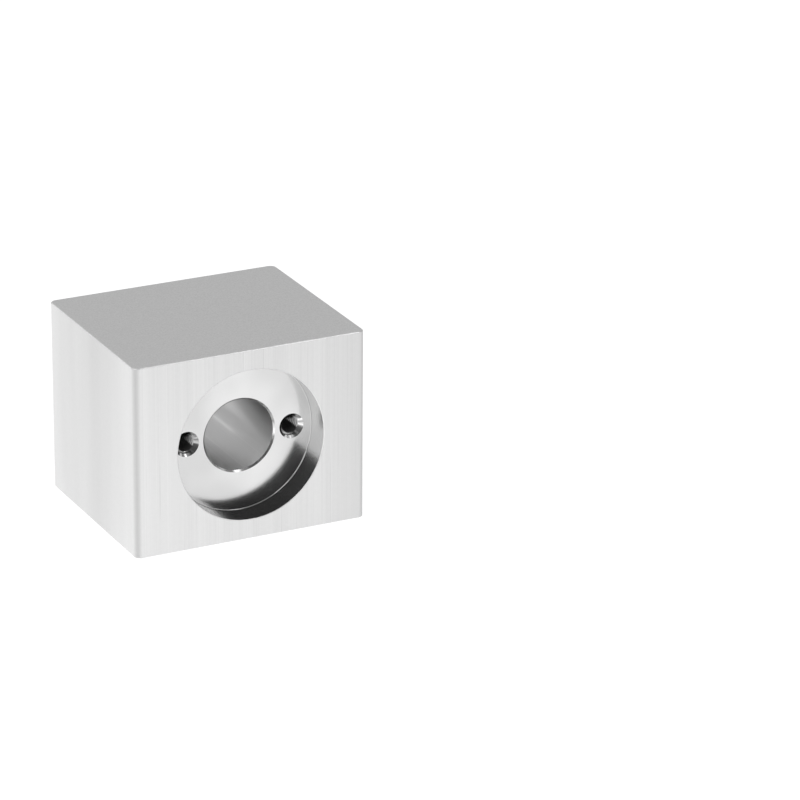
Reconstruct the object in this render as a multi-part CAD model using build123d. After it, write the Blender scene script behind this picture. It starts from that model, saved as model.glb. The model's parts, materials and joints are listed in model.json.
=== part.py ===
from build123d import *

import os
from math import radians, tan

# Housing that carries a flanged lead screw nut, machined from one slice of an aluminium bar.
# Millimetres, +Z up. It stands on its mounting face at Z 0, centred on X and Y. The screw runs
# along Y, and the nut goes in from the front, at -Y.

# Nut that the housing carries
nut_body_diameter = 10.2
nut_screw_circle = 16.0
nut_flange_diameter = 22.0
nut_flange_thickness = 3.5

# Room left round the nut
body_clearance = 0.15
flange_clearance = 0.1
flange_setback = 0.5  # the fitted flange lies this far inside the front face

# Block round the flange seat
wall_beside_seat = 6.4
wall_above_seat = 2.9
wall_below_seat = 2.9
block_length = 30.0  # front face to back face
bar_corner_radius = 1.0  # the bar's own long edges, which stand along Z
cut_edge_break = 0.15  # edges of the two cut faces, the top and the mounting face

# Edges of the seat and the bore
seat_rim_break = 0.15
seat_floor_radius = 0.2
bore_entry_chamfer = 0.25
bore_exit_chamfer = 0.3

# M3 holes in the seat floor, for the nut's screws
nut_hole_count = 2
nut_hole_drill = 2.5
nut_hole_countersink = 3.7
nut_hole_depth = 10.0

# M4 holes in the mounting face
mount_hole_drill = 3.3
mount_hole_countersink = 4.9
mount_hole_depth = 12.0
mount_hole_from_side = 5.5
mount_hole_from_end = 6.0

# Drilled and countersunk holes alike
drill_point_angle = 118.0
countersink_angle = 90.0
cut_overrun = 1.0  # how far a cutting shape reaches past the face it starts from

seat_radius = nut_flange_diameter / 2 + flange_clearance
seat_depth = nut_flange_thickness + flange_setback
bore_radius = nut_body_diameter / 2 + body_clearance
nut_axis_height = wall_below_seat + seat_radius
block_width = 2 * (seat_radius + wall_beside_seat)
block_height = nut_axis_height + seat_radius + wall_above_seat
front_y = -block_length / 2

seat_floor = Plane(origin=(0, front_y + seat_depth, nut_axis_height), x_dir=(1, 0, 0), z_dir=(0, -1, 0))
mounting_face = Plane(origin=(0, 0, 0), x_dir=(1, 0, 0), z_dir=(0, 0, -1))


def bar_slice():
    """The bar's rounded section, cut to the block's height, with the sharp cut edges broken."""
    section = RectangleRounded(block_width, block_length, bar_corner_radius)
    block = extrude(section, block_height)
    cut_edges = block.faces().filter_by(Axis.Z).edges()
    return chamfer(cut_edges, cut_edge_break)


def nut_cavity():
    """Flange seat and through bore, turned in one setting about the screw's axis."""
    half_section = Polyline(
        (0, -cut_overrun),
        (seat_radius + seat_rim_break + cut_overrun, -cut_overrun),
        (seat_radius, seat_rim_break),
        (seat_radius, seat_depth),
        (bore_radius + bore_entry_chamfer, seat_depth),
        (bore_radius, seat_depth + bore_entry_chamfer),
        (bore_radius, block_length - bore_exit_chamfer),
        (bore_radius + bore_exit_chamfer + cut_overrun, block_length + cut_overrun),
        (0, block_length + cut_overrun),
        close=True,
    )
    profile = make_face(half_section)
    floor_corner = profile.vertices().sort_by_distance((seat_radius, seat_depth))[0]
    profile = fillet(floor_corner, seat_floor_radius)
    return Pos(0, front_y, nut_axis_height) * revolve(profile, Axis.Y)


def drilled_hole(drill, countersink, depth):
    """A blind hole down from Z 0: countersink, tap drill's wall and the drill's point."""
    sink_slope = tan(radians(countersink_angle / 2))
    sink_depth = (countersink - drill) / 2 / sink_slope
    point_depth = drill / 2 / tan(radians(drill_point_angle / 2))
    half_section = Polyline(
        (0, cut_overrun),
        (countersink / 2 + cut_overrun * sink_slope, cut_overrun),
        (drill / 2, -sink_depth),
        (drill / 2, -depth),
        (0, -depth - point_depth),
        close=True,
    )
    return revolve(Plane.XZ * make_face(half_section), Axis.Z)


def nut_screw_holes():
    hole = drilled_hole(nut_hole_drill, nut_hole_countersink, nut_hole_depth)
    places = PolarLocations(nut_screw_circle / 2, nut_hole_count)
    return [seat_floor * place * hole for place in places]


def mounting_holes():
    hole = drilled_hole(mount_hole_drill, mount_hole_countersink, mount_hole_depth)
    spacing_x = block_width - 2 * mount_hole_from_side
    spacing_y = block_length - 2 * mount_hole_from_end
    places = GridLocations(spacing_x, spacing_y, 2, 2)
    return [mounting_face * place * hole for place in places]


def nut_housing():
    return bar_slice() - nut_cavity() - nut_screw_holes() - mounting_holes()


os.makedirs("parts", exist_ok=True)
export_step(nut_housing(), "parts/nut_housing.step")
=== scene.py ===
import json
import math
import bmesh
import bpy
from mathutils import Matrix, Vector


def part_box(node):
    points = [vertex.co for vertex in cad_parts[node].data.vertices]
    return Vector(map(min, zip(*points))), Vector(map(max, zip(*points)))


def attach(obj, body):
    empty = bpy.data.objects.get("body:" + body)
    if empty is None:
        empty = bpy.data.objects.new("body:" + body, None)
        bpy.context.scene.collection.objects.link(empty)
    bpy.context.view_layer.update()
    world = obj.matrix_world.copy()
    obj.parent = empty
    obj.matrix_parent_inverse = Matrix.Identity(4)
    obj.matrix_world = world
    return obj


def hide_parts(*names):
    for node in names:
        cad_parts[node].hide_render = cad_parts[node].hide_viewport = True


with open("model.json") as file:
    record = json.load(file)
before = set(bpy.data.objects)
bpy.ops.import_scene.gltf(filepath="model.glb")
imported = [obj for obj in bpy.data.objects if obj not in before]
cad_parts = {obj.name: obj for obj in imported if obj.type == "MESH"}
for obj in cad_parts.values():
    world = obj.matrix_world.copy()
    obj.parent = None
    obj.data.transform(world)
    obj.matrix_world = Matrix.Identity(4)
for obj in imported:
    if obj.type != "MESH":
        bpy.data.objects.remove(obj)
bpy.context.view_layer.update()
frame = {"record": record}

# Lead screw nut housing: one slice of aluminium bar with a turned seat and bore and six tapped holes.
# Metres, in the frame of the loaded model: the seat opens to -Y, +Z is up, Z 0 is the mounting face.
# Settings are in millimetres unless they say otherwise.

print("frame loaded")
mounts = {mount["name"]: mount for mount in frame["record"]["mounts"]}
boxLow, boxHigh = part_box("nut_housing")

# the block's finishes, in the order of its mesh's material slots
finishSlots = [
    "barSide", "cutFace", "brokenEdge", "facedFloor", "boredWall", "reamedBore",
    "countersunk", "nutThread", "mountingThread"]


def mm(value):
    return value * 0.001


# The block's shape

cutting = {
    "overrun": 1.0,          # how far a cutter reaches past the face it starts from
    "near": 0.01,            # points as close as this count as level, or as on one circle
    "merge": 0.001,          # closer points are joined
    "flat": 0.999,           # least height of a flat face's normal
    "upright": 0.01,         # most height of an upright face's normal
}
block = {
    "cornerRadius": 1.0,     # the bar's own long edges
    "cornerSegments": 12,
    "edgeBreak": 0.1,        # round the two cut faces
    "edgeSegments": 1,
    "sharpAngle": 36.0,      # degrees, the least bend that is shaded as a crisp edge
}


def rise(edge):
    return abs(edge.verts[0].co.z - edge.verts[1].co.z)


def barSlice():
    # The slice of bar: long edges rounded as drawn, cut edges broken.
    bm = bmesh.new()
    bmesh.ops.create_cube(bm, size=1.0)
    bmesh.ops.scale(bm, vec=boxHigh - boxLow, verts=bm.verts)
    bmesh.ops.translate(bm, vec=(boxLow + boxHigh) / 2, verts=bm.verts)
    upright = [edge for edge in bm.edges if rise(edge) > mm(cutting["near"])]
    bmesh.ops.bevel(
        bm, geom=upright, offset=mm(block["cornerRadius"]), offset_type="OFFSET", affect="EDGES",
        segments=block["cornerSegments"], profile=0.5, material=-1)
    level = [edge for edge in bm.edges if rise(edge) < mm(cutting["near"])]
    bmesh.ops.bevel(
        bm, geom=level, offset=mm(block["edgeBreak"]), offset_type="OFFSET", affect="EDGES",
        segments=block["edgeSegments"], profile=0.5, material=-1)
    bm.normal_update()
    for face in bm.faces:
        across, along, height = [abs(part) for part in face.normal]
        if height > cutting["flat"]:
            finish = "cutFace"
        elif height < cutting["upright"]:
            finish = "barSide"
        elif min(across, along) < cutting["upright"]:
            finish = "brokenEdge"
        else:
            finish = "cutFace"  # round the corners the break is as matt as the cut face
        face.material_index = finishSlots.index(finish)
    return bm


def spunCutter(profile, steps):
    # A closed shape from (radius, z) points in mm, spun about Z.
    bm = bmesh.new()
    corners = [bm.verts.new((mm(radius), 0, mm(z))) for radius, z in profile]
    edges = [bm.edges.new(pair) for pair in zip(corners, corners[1:])]
    bmesh.ops.spin(
        bm, geom=corners + edges, cent=(0, 0, 0), axis=(0, 0, 1), angle=math.tau, steps=steps,
        use_merge=True)
    bmesh.ops.remove_doubles(bm, verts=bm.verts, dist=mm(cutting["merge"]))
    bmesh.ops.recalc_face_normals(bm, faces=bm.faces)
    return bm


def facing(axis):
    # turns +Z, the way out of a cutter's hole, to point along the axis
    return Vector((0, 0, 1)).rotation_difference(Vector(axis)).to_matrix().to_4x4()


seat = {
    "radius": mounts["flange_seat"]["dims"]["r_mm"],
    "depth": 4.0,
    "rimBreak": 0.06,
    "floorRadius": 0.1,      # of the corner that the tool's tip leaves at the floor
    "floorSegments": 5,
    "boreRadius": mounts["nut_bore"]["dims"]["r_mm"],
    "boreEntry": 0.25,       # chamfers at the bore's two ends
    "boreExit": 0.3,
    "axisZ": mounts["nut_bore"]["pos_m"][2],  # metres
    "steps": 192,            # round the seat and the bore
}


def onCircle(edge, radius, z):
    return all(
        abs(vert.co.z - mm(z)) < mm(cutting["near"])
        and abs(vert.co.xy.length - mm(radius)) < mm(cutting["near"])
        for vert in edge.verts)


def seatCutter():
    # Seat and bore as one turned shape, with the front face at Z 0 until it is put in place.
    over = cutting["overrun"]
    near = cutting["near"]
    length = (boxHigh.y - boxLow.y) / mm(1)
    profile = [
        (0, over),
        (seat["radius"] + seat["rimBreak"] + over, over),
        (seat["radius"], -seat["rimBreak"]),
        (seat["radius"], -seat["depth"]),
        (seat["boreRadius"] + seat["boreEntry"], -seat["depth"]),
        (seat["boreRadius"], -seat["depth"] - seat["boreEntry"]),
        (seat["boreRadius"], -length + seat["boreExit"]),
        (seat["boreRadius"] + seat["boreExit"] + over, -length - over),
        (0, -length - over),
    ]
    bm = spunCutter(profile, seat["steps"])
    floorCorner = [edge for edge in bm.edges if onCircle(edge, seat["radius"], -seat["depth"])]
    bmesh.ops.bevel(
        bm, geom=floorCorner, offset=mm(seat["floorRadius"]), offset_type="OFFSET", affect="EDGES",
        segments=seat["floorSegments"], profile=0.5, material=-1)
    bm.normal_update()
    for face in bm.faces:
        reach = max(vert.co.xy.length for vert in face.verts) / mm(1)
        if reach < seat["boreRadius"] + near:
            finish = "reamedBore"
        elif reach < seat["boreRadius"] + seat["boreEntry"] + near:
            finish = "countersunk"
        elif reach > seat["radius"] + near:
            finish = "brokenEdge"
        elif abs(face.normal.z) > cutting["flat"]:
            finish = "facedFloor"
        else:
            finish = "boredWall"
        face.material_index = finishSlots.index(finish)
    bm.transform(Matrix.Translation((0, boxLow.y, seat["axisZ"])) @ facing((0, -1, 0)))
    return bm


# M3, for the nut's screws
nutHoles = {
    "mount": mounts["nut_screws"],
    "countersink": 3.7,
    "drillDepth": 10.0,
    "threadDepth": 8.0,
    "threadDiameter": 3.0,
    "pitch": 0.5,
    "core": 2.3,             # of the tap, inside the drilled wall
    "finish": "nutThread",
}
# M4, for the screws that hold the housing
mountingHoles = {
    "mount": mounts["mounting_holes"],
    "countersink": 4.9,
    "drillDepth": 12.0,
    "threadDepth": 10.0,
    "threadDiameter": 4.0,
    "pitch": 0.7,
    "core": 3.0,
    "finish": "mountingThread",
}
tapping = {
    "pointAngle": 118.0,     # degrees, the drill's point
    "steps": 48,             # round each hole, and in each turn of a thread
    "flankAngle": 30.0,      # degrees, half the angle of a metric thread
    "crest": 0.125,          # of the pitch, the flat at a metric thread's crest
    "lead": 1.5,             # pitches over which the tap's tip runs out
    "merge": 0.002,          # closer points of the tooth are joined
}


def sinkDepth(hole):
    # a 90 degree countersink is as deep as its radius is larger than the drill's
    return hole["countersink"] / 2 - hole["mount"]["dims"]["hole_r_mm"]


def holePlaces(hole):
    # Puts Z 0 of a cutter at each hole's mouth. The mount lies at the foot of the countersinks.
    mount = hole["mount"]
    axis = Vector(mount["axis"])
    mouth = Vector(mount["pos_m"]) + axis * mm(sinkDepth(hole))
    halfAcross = mm(mount["dims"]["spacing_x_mm"] / 2)
    halfAlong = mm(mount["dims"].get("spacing_y_mm", 0) / 2)
    rows = (-halfAlong, halfAlong) if halfAlong else (0,)
    for row in rows:
        for side in (-halfAcross, halfAcross):
            yield Matrix.Translation(mouth + Vector((side, row, 0))) @ facing(axis)


def drillCutter(hole):
    # Countersink, the tap drill's wall and its point, with the mouth at Z 0.
    over = cutting["overrun"]
    radius = hole["mount"]["dims"]["hole_r_mm"]
    point = radius / math.tan(math.radians(tapping["pointAngle"] / 2))
    profile = [
        (0, over),
        (hole["countersink"] / 2 + over, over),
        (radius, -sinkDepth(hole)),
        (radius, -hole["drillDepth"]),
        (0, -hole["drillDepth"] - point),
    ]
    bm = spunCutter(profile, tapping["steps"])
    for face in bm.faces:
        reach = max(vert.co.xy.length for vert in face.verts) / mm(1)
        finish = "countersunk" if reach > radius + cutting["near"] else hole["finish"]
        face.material_index = finishSlots.index(finish)
    return bm


def tapCutter(hole):
    # The tap's tooth, wound up the hole from the thread's foot to past the mouth.
    pitch = hole["pitch"]
    major = hole["threadDiameter"] / 2
    core = hole["core"] / 2
    crest = tapping["crest"] * pitch
    flank = (major - core) * math.tan(math.radians(tapping["flankAngle"]))
    rootFlat = pitch - crest - 2 * flank
    tooth = [
        (core, 0),
        (core, rootFlat),
        (major, rootFlat + flank),
        (major, rootFlat + flank + crest),
        (core, pitch),
    ]
    turns = math.ceil(hole["threadDepth"] / pitch) + 1
    steps = tapping["steps"]
    foot = -mm(hole["threadDepth"])
    bm = bmesh.new()
    corners = [bm.verts.new((mm(radius), 0, foot + mm(z))) for radius, z in tooth]
    edges = [bm.edges.new(pair) for pair in zip(corners, corners[1:])]
    bmesh.ops.spin(
        bm, geom=corners + edges, cent=(0, 0, 0), axis=(0, 0, 1), dvec=(0, 0, mm(pitch / steps)),
        angle=math.tau * turns, steps=steps * turns)
    bmesh.ops.remove_doubles(bm, verts=bm.verts, dist=mm(tapping["merge"]))
    middle = foot + mm(turns * pitch / 2)
    for lower in (True, False):  # closes the tap at its two ends
        rim = [e for e in bm.edges if e.is_boundary and (e.verts[0].co.z < middle) == lower]
        capped = bmesh.ops.extrude_edge_only(bm, edges=rim)["geom"]
        tips = [part for part in capped if isinstance(part, bmesh.types.BMVert)]
        height = sum(vert.co.z for vert in tips) / len(tips)
        bmesh.ops.pointmerge(bm, verts=tips, merge_co=(0, 0, height))
    lead = mm(tapping["lead"] * pitch)
    for vert in bm.verts:  # the tooth grows over the tap's lead
        grown = min(max((vert.co.z - foot) / lead, 0), 1)
        most = mm(core + (major - core) * grown)
        if vert.co.xy.length > most:
            vert.co.xy *= most / vert.co.xy.length
    bmesh.ops.recalc_face_normals(bm, faces=bm.faces)
    for face in bm.faces:
        face.material_index = finishSlots.index(hole["finish"])
    return bm


def atEachHole(hole, cutter):
    # The same cutter at each hole of a pattern, as one mesh.
    whole = bmesh.new()
    mesh = bpy.data.meshes.new("cutter")
    for place in holePlaces(hole):
        placed = cutter.copy()
        placed.transform(place)
        placed.to_mesh(mesh)
        whole.from_mesh(mesh)
        placed.free()
    cutter.free()
    bpy.data.meshes.remove(mesh)
    return whole


# Finishes


def linearColour(hexCode):
    # an sRGB hex value as the linear colour that a shader socket takes
    channels = [int(hexCode[place:place + 2], 16) / 255 for place in (1, 3, 5)]
    return [((c + 0.055) / 1.055) ** 2.4 if c > 0.04045 else c / 12.92 for c in channels] + [1.0]


def addNode(tree, kind, settings=None, links=None):
    # Sockets go by name, or by number where a node has more of one name. A colour mix has its
    # factor at 0 and its two colours at 6 and 7, and gives its result at 2.
    node = tree.nodes.new(kind)
    for name, value in (settings or {}).items():
        if isinstance(name, int) or name in node.inputs:
            node.inputs[name].default_value = value
        else:
            setattr(node, name, value)
    for name, source in (links or {}).items():
        tree.links.new(source, node.inputs[name])
    return node


def newMaterial(name):
    material = bpy.data.materials.new(name)
    material.use_nodes = True
    tree = material.node_tree
    tree.nodes.clear()
    return material, tree


def stretchedNoise(tree, vector, size, start=(0, 0, 0)):
    # noise whose patches are about this many mm long in X, Y and Z
    mapping = addNode(
        tree, "ShaderNodeMapping", {"Scale": [1 / mm(side) for side in size], "Location": start},
        {"Vector": vector})
    return addNode(
        tree, "ShaderNodeTexNoise", {"Scale": 1.0, "Detail": 2.0}, {"Vector": mapping.outputs["Vector"]})


barSide = {
    "colour": "#EBEBEB",
    "streakAndShadeColour": "#CBCBCB",
    # painted shade on the round corners
    "paintedCornerShadeColour": "#484848",
    "roughness": (0.26, 0.40),
    "anisotropy": 0.6,
    "bumpHeight": 0.0008,
    # Size across the front, across the sides and lengthwise, start in the noise, weight. Real
    # drawing marks are a few hundredths wide, too fine to show, so the finest here are coarser.
    "streaksAndShade": [
        ((0.11, 4.0, 45), (0, 0, 0), 0.08),
        ((0.4, 10.0, 90), (0, 0, 0), 0.06),
        ((3.0, 14.0, 200), (0, 0, 0), 0.08),
        # the broad fourth layer is painted reflection, not a streak: placed by its start, it shades the sides
        # lighter and darker across their width
        ((80.0, 26.0, 300), (5.1, 29.8, 0), 0.75),
        ((0.6, 0.6, 0.6), (0, 0, 0), 0.03)],
    "streakRange": (0.38, 0.62),
    # some drawing marks stand out as thin dark lines
    "line": {"size": (0.22, 40.0, 26.0), "range": (0.66, 0.82), "colour": "#C4C4C4"},
}


def brushedBarAluminium():
    # Drawn and brushed lengthwise: faint upright streaks, and a sheen that spreads sideways. Painted light
    # and shade lie across the sides, and painted shade on the round corners.
    material, tree = newMaterial("brushedBarAluminium")
    place = addNode(tree, "ShaderNodeTexCoord")
    total = None
    for size, start, weight in barSide["streaksAndShade"]:
        noise = stretchedNoise(tree, place.outputs["Object"], size, start)
        parts = {0: noise.outputs["Fac"]}
        if total:
            parts[2] = total.outputs["Value"]
        total = addNode(tree, "ShaderNodeMath", {"operation": "MULTIPLY_ADD", 1: weight, 2: 0.0}, parts)
    level = addNode(
        tree, "ShaderNodeMapRange",
        {"From Min": barSide["streakRange"][0], "From Max": barSide["streakRange"][1]},
        {"Value": total.outputs["Value"]})
    # painted light and shade: the broad layer's gradient goes into this mix along with the streaks
    streakedAndShaded = addNode(
        tree, "ShaderNodeMix",
        {"data_type": "RGBA", 6: linearColour(barSide["colour"]), 7: linearColour(barSide["streakAndShadeColour"])},
        {0: level.outputs["Result"]})
    # dark lines, on the faces that look along Y only
    line = barSide["line"]
    marks = stretchedNoise(tree, place.outputs["Object"], line["size"])
    mark = addNode(
        tree, "ShaderNodeMapRange", {"From Min": line["range"][0], "From Max": line["range"][1]},
        {"Value": marks.outputs["Fac"]})
    normal = addNode(tree, "ShaderNodeSeparateXYZ", {}, {0: place.outputs["Normal"]})
    alongY = addNode(
        tree, "ShaderNodeMath", {"operation": "MULTIPLY"}, {0: normal.outputs[1], 1: mark.outputs["Result"]})
    lineLevel = addNode(tree, "ShaderNodeMath", {"operation": "ABSOLUTE"}, {0: alongY.outputs["Value"]})
    lined = addNode(
        tree, "ShaderNodeMix", {"data_type": "RGBA", 7: linearColour(line["colour"])},
        {0: lineLevel.outputs["Value"], 6: streakedAndShaded.outputs[2]})
    # painted shade: the round corners are darkened, most of all at their middle
    turn = addNode(
        tree, "ShaderNodeMath", {"operation": "MULTIPLY"}, {0: normal.outputs[0], 1: normal.outputs[1]})
    paintedCornerShade = addNode(
        tree, "ShaderNodeMath", {"operation": "MULTIPLY"},
        {0: turn.outputs["Value"], 1: turn.outputs["Value"]})
    cornerShaded = addNode(
        tree, "ShaderNodeMix", {"data_type": "RGBA", 7: linearColour(barSide["paintedCornerShadeColour"])},
        {0: paintedCornerShade.outputs["Value"], 6: lined.outputs[2]})
    roughness = addNode(
        tree, "ShaderNodeMapRange",
        {"To Min": barSide["roughness"][0], "To Max": barSide["roughness"][1]},
        {"Value": level.outputs["Result"]})
    bump = addNode(
        tree, "ShaderNodeBump", {"Strength": 1.0, "Distance": mm(barSide["bumpHeight"])},
        {"Height": total.outputs["Value"]})
    tangent = addNode(tree, "ShaderNodeTangent", {"direction_type": "RADIAL", "axis": "Z"})
    shader = addNode(
        tree, "ShaderNodeBsdfPrincipled",
        {"Metallic": 1.0, "Anisotropic": barSide["anisotropy"]},
        {"Base Color": cornerShaded.outputs[2], "Roughness": roughness.outputs["Result"],
         "Normal": bump.outputs["Normal"], "Tangent": tangent.outputs["Tangent"]})
    addNode(tree, "ShaderNodeOutputMaterial", {}, {"Surface": shader.outputs["BSDF"]})
    return material


cutFace = {
    "colour": "#ECECEC",
    "grainColour": "#E0E0E0",
    "roughness": (0.46, 0.54),
    "grain": (0.22, 0.22, 0.22),  # the real one, about 0.05, is too fine to show
    "grainRange": (0.3, 0.7),
    "bumpHeight": 0.008,
}


def finelyMilledAluminium():
    # Sawn off and skimmed: an even matt grey with a very fine grain.
    material, tree = newMaterial("finelyMilledAluminium")
    place = addNode(tree, "ShaderNodeTexCoord")
    grain = stretchedNoise(tree, place.outputs["Object"], cutFace["grain"])
    roughness = addNode(
        tree, "ShaderNodeMapRange",
        {"To Min": cutFace["roughness"][0], "To Max": cutFace["roughness"][1]},
        {"Value": grain.outputs["Fac"]})
    bump = addNode(
        tree, "ShaderNodeBump", {"Strength": 1.0, "Distance": mm(cutFace["bumpHeight"])},
        {"Height": grain.outputs["Fac"]})
    speckle = addNode(
        tree, "ShaderNodeMapRange",
        {"From Min": cutFace["grainRange"][0], "From Max": cutFace["grainRange"][1]},
        {"Value": grain.outputs["Fac"]})
    colour = addNode(
        tree, "ShaderNodeMix",
        {"data_type": "RGBA", 6: linearColour(cutFace["colour"]), 7: linearColour(cutFace["grainColour"])},
        {0: speckle.outputs["Result"]})
    shader = addNode(
        tree, "ShaderNodeBsdfPrincipled", {"Metallic": 1.0},
        {"Base Color": colour.outputs[2], "Roughness": roughness.outputs["Result"],
         "Normal": bump.outputs["Normal"]})
    addNode(tree, "ShaderNodeOutputMaterial", {}, {"Surface": shader.outputs["BSDF"]})
    return material


facedFloor = {
    "colour": "#E6E6E6",
    "cloudShadeColour": "#D3D3D3",    # painted shade, in darker patches set by the noise's start
    "shadeCloud": (14.0, 14.0, 14.0),
    "shadeCloudStart": (15.4, 0, 14.0),
    "shadeCloudRange": (0.4, 0.6),
    "roughness": (0.12, 0.18),
    "anisotropy": 0.5,
    "sheenTurn": 0.25,           # of a turn, so that the sheen spreads across the rings
    "feed": 0.08,                # of the tool in each turn
    "bumpHeight": 0.0004,
    "dragAndShade": None,
}
boredWall = dict(
    facedFloor, colour="#DADADA", cloudShadeColour="#D2D2D2", roughness=(0.17, 0.22), anisotropy=0.65)
reamedBore = dict(
    facedFloor, colour="#EEEEEE", cloudShadeColour="#E8E8E8", roughness=(0.34, 0.40), anisotropy=0.8,
    feed=0.15, bumpHeight=0.0006,
    # lines that the reamer drew along the bore, drawn wider than the real scratches, which are
    # too fine to show, and painted brighter as highlights; and a patch of painted shade at the bore's mouth
    dragAndShade={"width": 0.25, "range": (0.60, 0.82), "colour": "#FFFFFF",
          "shadePlace": (5.5, -11.0, 3.5), "shadeReach": (7.0, 16.0, 6.0), "mouthShadeColour": "#6A6A6A"})


def dragLinesAndShade(tree, dragAndShade, centre, flat, colour):
    # Reamer lines that run straight along the bore, painted bright as highlights, then painted shade in a
    # patch at its mouth.
    around = addNode(tree, "ShaderNodeVectorMath", {"operation": "NORMALIZE"}, {0: flat.outputs["Vector"]})
    lines = addNode(
        tree, "ShaderNodeTexNoise", {"Scale": seat["boreRadius"] / dragAndShade["width"], "Detail": 2.0},
        {"Vector": around.outputs["Vector"]})
    # painted highlight: the reamer lines drawn brighter
    lineHighlight = addNode(
        tree, "ShaderNodeMapRange", {"From Min": dragAndShade["range"][0], "From Max": dragAndShade["range"][1]},
        {"Value": lines.outputs["Fac"]})
    lined = addNode(
        tree, "ShaderNodeMix", {"data_type": "RGBA", 7: linearColour(dragAndShade["colour"])},
        {0: lineHighlight.outputs["Result"], 6: colour.outputs[2]})
    # painted shade: the dark patch at the bore's mouth
    shadePatch = addNode(
        tree, "ShaderNodeMapping",
        {"Scale": [1 / mm(reach) for reach in dragAndShade["shadeReach"]],
         "Location": [-middle / reach for middle, reach in zip(dragAndShade["shadePlace"], dragAndShade["shadeReach"])]},
        {"Vector": centre.outputs["Vector"]})
    mouthShade = addNode(
        tree, "ShaderNodeTexGradient", {"gradient_type": "SPHERICAL"}, {"Vector": shadePatch.outputs["Vector"]})
    return addNode(
        tree, "ShaderNodeMix", {"data_type": "RGBA", 7: linearColour(dragAndShade["mouthShadeColour"])},
        {0: mouthShade.outputs["Fac"], 6: lined.outputs[2]})


def turnedAluminium(name, turned):
    # Turned bright in a lathe: rings round the screw's axis that blur reflections across them.
    material, tree = newMaterial(name)
    place = addNode(tree, "ShaderNodeTexCoord")
    centre = addNode(
        tree, "ShaderNodeMapping", {"vector_type": "POINT", "Location": (0, 0, -seat["axisZ"])},
        {"Vector": place.outputs["Object"]})
    flat = addNode(tree, "ShaderNodeMapping", {"Scale": (1, 0, 1)}, {"Vector": centre.outputs["Vector"]})
    radius = addNode(tree, "ShaderNodeVectorMath", {"operation": "LENGTH"}, {0: flat.outputs["Vector"]})
    parts = addNode(tree, "ShaderNodeSeparateXYZ", {}, {0: centre.outputs["Vector"]})
    section = addNode(tree, "ShaderNodeCombineXYZ", {}, {0: radius.outputs["Value"], 1: parts.outputs[1]})
    rings = addNode(
        tree, "ShaderNodeTexNoise", {"Scale": 1 / mm(turned["feed"]), "Detail": 2.0},
        {"Vector": section.outputs["Vector"]})
    roughness = addNode(
        tree, "ShaderNodeMapRange",
        {"To Min": turned["roughness"][0], "To Max": turned["roughness"][1]},
        {"Value": rings.outputs["Fac"]})
    bump = addNode(
        tree, "ShaderNodeBump", {"Strength": 1.0, "Distance": mm(turned["bumpHeight"])},
        {"Height": rings.outputs["Fac"]})
    # painted shade: darker patches where the noise's start places them
    shadeClouds = stretchedNoise(tree, centre.outputs["Vector"], turned["shadeCloud"], turned["shadeCloudStart"])
    shadeCloud = addNode(
        tree, "ShaderNodeMapRange",
        {"From Min": turned["shadeCloudRange"][0], "From Max": turned["shadeCloudRange"][1]},
        {"Value": shadeClouds.outputs["Fac"]})
    colour = addNode(
        tree, "ShaderNodeMix",
        {"data_type": "RGBA", 6: linearColour(turned["colour"]), 7: linearColour(turned["cloudShadeColour"])},
        {0: shadeCloud.outputs["Result"]})
    if turned["dragAndShade"]:
        colour = dragLinesAndShade(tree, turned["dragAndShade"], centre, flat, colour)
    tangent = addNode(tree, "ShaderNodeTangent", {"direction_type": "RADIAL", "axis": "Y"})
    shader = addNode(
        tree, "ShaderNodeBsdfPrincipled",
        {"Metallic": 1.0, "Anisotropic": turned["anisotropy"], "Anisotropic Rotation": turned["sheenTurn"]},
        {"Base Color": colour.outputs[2], "Roughness": roughness.outputs["Result"],
         "Normal": bump.outputs["Normal"], "Tangent": tangent.outputs["Tangent"]})
    addNode(tree, "ShaderNodeOutputMaterial", {}, {"Surface": shader.outputs["BSDF"]})
    return material


brokenEdge = {
    "colour": "#FAFAFA",
    "markAndShadeColour": "#F0F0F0",
    "markRange": (0.35, 0.65),
    "markedBy": "Object",
    "marks": 1 / mm(0.5),        # file marks, coarser than the real ones, which would not show
    "roughness": (0.3, 0.4),
}
countersunk = {
    "colour": "#F4F4F4",
    # painted reflection: the cone is darker where it faces some ways
    "markAndShadeColour": "#9A9A9A",
    "markRange": (0.35, 0.65),
    "markedBy": "Normal",
    "marks": 5.0,                # chatter: the higher, the more marks round the cone
    "roughness": (0.12, 0.2),
}


def smallCutAluminium(name, cut):
    # Small cut surfaces, mottled by the cutter. A round one is marked by the way that it faces,
    # as painted reflection: light and dark that go round the hole as chatter marks reflect them.
    material, tree = newMaterial(name)
    place = addNode(tree, "ShaderNodeTexCoord")
    marks = addNode(
        tree, "ShaderNodeTexNoise", {"Scale": cut["marks"], "Detail": 1.0},
        {"Vector": place.outputs[cut["markedBy"]]})
    level = addNode(
        tree, "ShaderNodeMapRange", {"From Min": cut["markRange"][0], "From Max": cut["markRange"][1]},
        {"Value": marks.outputs["Fac"]})
    # file marks on a broken edge; painted reflection on a round cut
    colour = addNode(
        tree, "ShaderNodeMix",
        {"data_type": "RGBA", 6: linearColour(cut["colour"]), 7: linearColour(cut["markAndShadeColour"])},
        {0: level.outputs["Result"]})
    roughness = addNode(
        tree, "ShaderNodeMapRange",
        {"To Min": cut["roughness"][0], "To Max": cut["roughness"][1]},
        {"Value": marks.outputs["Fac"]})
    shader = addNode(
        tree, "ShaderNodeBsdfPrincipled", {"Metallic": 1.0},
        {"Base Color": colour.outputs[2], "Roughness": roughness.outputs["Result"]})
    addNode(tree, "ShaderNodeOutputMaterial", {}, {"Surface": shader.outputs["BSDF"]})
    return material


tapped = {
    "mouthColour": "#B8B8B8",
    "deepShadeColour": "#808080",     # painted shade, darker deeper in the hole
    "unshadedDepth": 1.8,
    "marks": 0.4,                # smears left by the tap
    "roughness": (0.12, 0.2),
}


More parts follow.
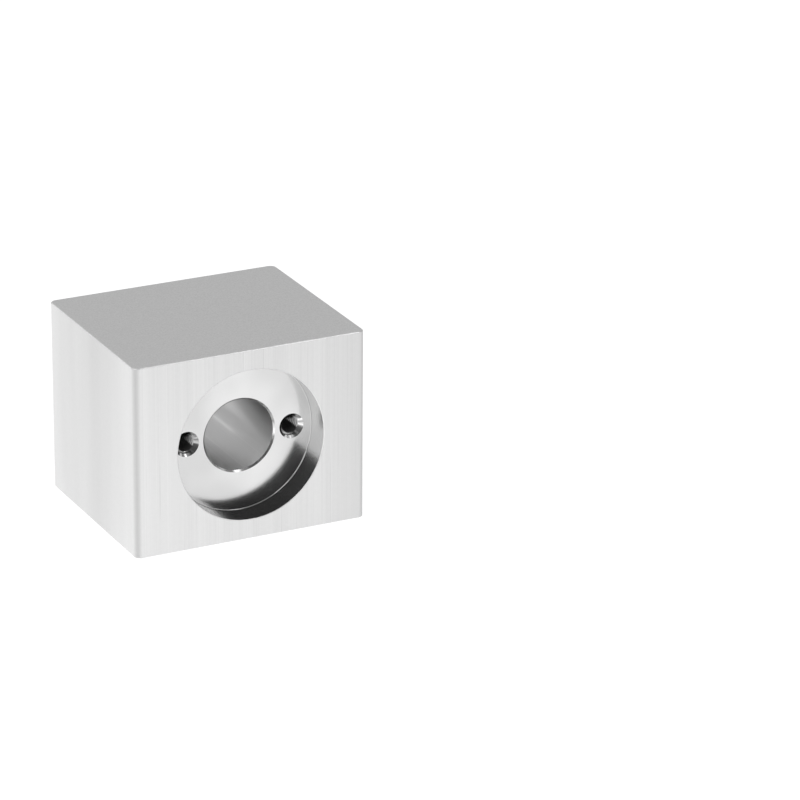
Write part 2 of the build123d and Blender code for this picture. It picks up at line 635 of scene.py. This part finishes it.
def tappedAluminium(name, hole):
    # Walls and threads of a tapped hole: bright at the mouth, darkened further in by painted shade.
    material, tree = newMaterial(name)
    axis = Vector(hole["mount"]["axis"])
    top = Vector(hole["mount"]["pos_m"]).dot(axis)
    place = addNode(tree, "ShaderNodeTexCoord")
    height = addNode(
        tree, "ShaderNodeVectorMath", {"operation": "DOT_PRODUCT", 1: axis}, {0: place.outputs["Object"]})
    # painted shade: the colour darkens with depth in the hole
    unshaded = addNode(
        tree, "ShaderNodeMapRange", {"From Min": top - mm(tapped["unshadedDepth"]), "From Max": top},
        {"Value": height.outputs["Value"]})
    colour = addNode(
        tree, "ShaderNodeMix",
        {"data_type": "RGBA", 6: linearColour(tapped["deepShadeColour"]), 7: linearColour(tapped["mouthColour"])},
        {0: unshaded.outputs["Result"]})
    marks = addNode(
        tree, "ShaderNodeTexNoise", {"Scale": 1 / mm(tapped["marks"]), "Detail": 1.0},
        {"Vector": place.outputs["Object"]})
    roughness = addNode(
        tree, "ShaderNodeMapRange",
        {"To Min": tapped["roughness"][0], "To Max": tapped["roughness"][1]},
        {"Value": marks.outputs["Fac"]})
    shader = addNode(
        tree, "ShaderNodeBsdfPrincipled", {"Metallic": 1.0},
        {"Base Color": colour.outputs[2], "Roughness": roughness.outputs["Result"]})
    addNode(tree, "ShaderNodeOutputMaterial", {}, {"Surface": shader.outputs["BSDF"]})
    return material


# The finished housing


def asObject(bm, name, materials):
    mesh = bpy.data.meshes.new(name)
    bm.to_mesh(mesh)
    bm.free()
    for material in materials:
        mesh.materials.append(material)
    piece = bpy.data.objects.new(name, mesh)
    bpy.context.scene.collection.objects.link(piece)
    return piece


def bakeModifiers(piece):
    graph = bpy.context.evaluated_depsgraph_get()
    finished = bpy.data.meshes.new_from_object(piece.evaluated_get(graph))
    piece.modifiers.clear()
    piece.data = finished


def cutAway(piece, cutter):
    # a cut face keeps the finish that its cutter's face carries
    cut = piece.modifiers.new("cut", "BOOLEAN")
    cut.operation = "DIFFERENCE"
    cut.object = cutter
    cut.solver = "MANIFOLD"
    cut.material_mode = "INDEX"
    bakeModifiers(piece)
    bpy.data.objects.remove(cutter)


def shadeMachined(piece):
    # Flats stay flat and turned walls stay smooth, with crisp edges between them.
    piece.data.shade_smooth()
    piece.data.set_sharp_from_angle(angle=math.radians(block["sharpAngle"]))
    weighted = piece.modifiers.new("weightedNormals", "WEIGHTED_NORMAL")
    weighted.keep_sharp = True
    weighted.mode = "FACE_AREA"
    bakeModifiers(piece)


def buildHousing():
    # in the order of finishSlots
    materials = [
        brushedBarAluminium(),
        finelyMilledAluminium(),
        smallCutAluminium("brokenEdgeAluminium", brokenEdge),
        turnedAluminium("facedAluminium", facedFloor),
        turnedAluminium("boredAluminium", boredWall),
        turnedAluminium("reamedAluminium", reamedBore),
        smallCutAluminium("countersunkAluminium", countersunk),
        tappedAluminium("tappedAluminiumInSeat", nutHoles),
        tappedAluminium("tappedAluminiumInBase", mountingHoles)]
    print("finishes made:", len(materials))
    piece = asObject(barSlice(), "housingBlock", materials)
    cutAway(piece, asObject(seatCutter(), "seatCutter", materials))
    print("seat and bore cut:", len(piece.data.polygons), "faces")
    for hole in (nutHoles, mountingHoles):
        for cutter in (drillCutter(hole), tapCutter(hole)):
            cutAway(piece, asObject(atEachHole(hole, cutter), "holeCutter", materials))
    print("holes drilled and tapped:", len(piece.data.polygons), "faces")
    shadeMachined(piece)
    return piece


housing = buildHousing()
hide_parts("nut_housing")
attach(housing, "root")
print("housing finished")


# Studio

studio = {
    "floorSize": 6.0,            # metres
    "floorColour": "#909090",
    "floorRoughness": 0.9,
    "floorGlow": 0.92,           # a lit table: it throws hardly any shadow
    "roomLight": 0.56,
    "darkLight": 0.03,           # behind the camera
    "darkEdge": (-0.6, -0.4),    # along Y, from the dark part of the room to the lit one
}


def studioFloor():
    bm = bmesh.new()
    bmesh.ops.create_grid(bm, x_segments=1, y_segments=1, size=studio["floorSize"] / 2)
    material, tree = newMaterial("litTable")
    shader = addNode(
        tree, "ShaderNodeBsdfPrincipled",
        {"Base Color": linearColour(studio["floorColour"]), "Roughness": studio["floorRoughness"],
         "Specular IOR Level": 0.0, "Emission Color": (1, 1, 1, 1), "Emission Strength": studio["floorGlow"]})
    addNode(tree, "ShaderNodeOutputMaterial", {}, {"Surface": shader.outputs["BSDF"]})
    asObject(bm, "floor", [material])


def studioRoom():
    # A grey room, dark behind the camera.
    world = bpy.data.worlds.new("room")
    bpy.context.scene.world = world
    world.use_nodes = True
    tree = world.node_tree
    tree.nodes.clear()
    place = addNode(tree, "ShaderNodeTexCoord")
    parts = addNode(tree, "ShaderNodeSeparateXYZ", {}, {0: place.outputs["Generated"]})
    level = addNode(
        tree, "ShaderNodeMapRange",
        {"interpolation_type": "SMOOTHSTEP",
         "From Min": studio["darkEdge"][0], "From Max": studio["darkEdge"][1],
         "To Min": studio["darkLight"], "To Max": studio["roomLight"]},
        {"Value": parts.outputs[1]})
    background = addNode(
        tree, "ShaderNodeBackground", {"Color": (1, 1, 1, 1)}, {"Strength": level.outputs["Result"]})
    addNode(tree, "ShaderNodeOutputWorld", {}, {"Surface": background.outputs["Background"]})


softboxes = {
    # place and side in metres, power in watts
    "leftSoftbox": {"place": (-0.95, -0.2, 0.47), "side": 0.6, "power": 2.2},
    "rightSoftbox": {"place": (0.5, -0.4, 0.9), "side": 0.24, "power": 0.36},
    "backSoftbox": {"place": (-0.4, 0.9, 0.45), "side": 0.1, "power": 0.07},
    "topSoftbox": {"place": (-0.52, -0.26, 0.82), "side": 0.42, "power": 0.95},
}


def studioLights():
    # Each softbox faces the origin and stays out of the camera's sight.
    for name, softbox in softboxes.items():
        light = bpy.data.lights.new(name, "AREA")
        light.size = softbox["side"]
        light.energy = softbox["power"]
        lamp = bpy.data.objects.new(name, light)
        lamp.location = softbox["place"]
        lamp.rotation_euler = Vector(softbox["place"]).to_track_quat("Z", "Y").to_euler()
        lamp.visible_camera = False
        bpy.context.scene.collection.objects.link(lamp)


photoCamera = {
    "azimuth": 26.844,           # degrees, the view turned from +Y towards +X
    "elevation": 21.481,         # degrees above the horizon
    "roll": 0.480,               # degrees
    "aim": (24.55, -11.82, 15.37),
    "distance": 627.96,          # from the aim
    "lens": 200.43,
    "sensor": 36.0,
    "nearest": 10.0,             # nothing nearer or farther than these two is drawn
    "farthest": 20000.0,
}


def placeCamera():
    # The photo's view, as solved from the straight edges of the block.
    view = bpy.data.cameras.new("photoCamera")
    view.lens = photoCamera["lens"]
    view.sensor_width = photoCamera["sensor"]
    view.clip_start = mm(photoCamera["nearest"])
    view.clip_end = mm(photoCamera["farthest"])
    camera = bpy.data.objects.new("photoCamera", view)
    turn = (Matrix.Rotation(-math.radians(photoCamera["azimuth"]), 4, "Z")
            @ Matrix.Rotation(math.radians(90 - photoCamera["elevation"]), 4, "X")
            @ Matrix.Rotation(math.radians(photoCamera["roll"]), 4, "Z"))
    aim = Vector([mm(value) for value in photoCamera["aim"]])
    back = turn @ Vector((0, 0, mm(photoCamera["distance"])))
    camera.matrix_world = Matrix.Translation(aim + back) @ turn
    bpy.context.scene.collection.objects.link(camera)
    bpy.context.scene.camera = camera


studioFloor()
studioRoom()
studioLights()
placeCamera()
bpy.context.scene.view_settings.view_transform = "Standard"  # keeps the lit table white
print("studio ready")
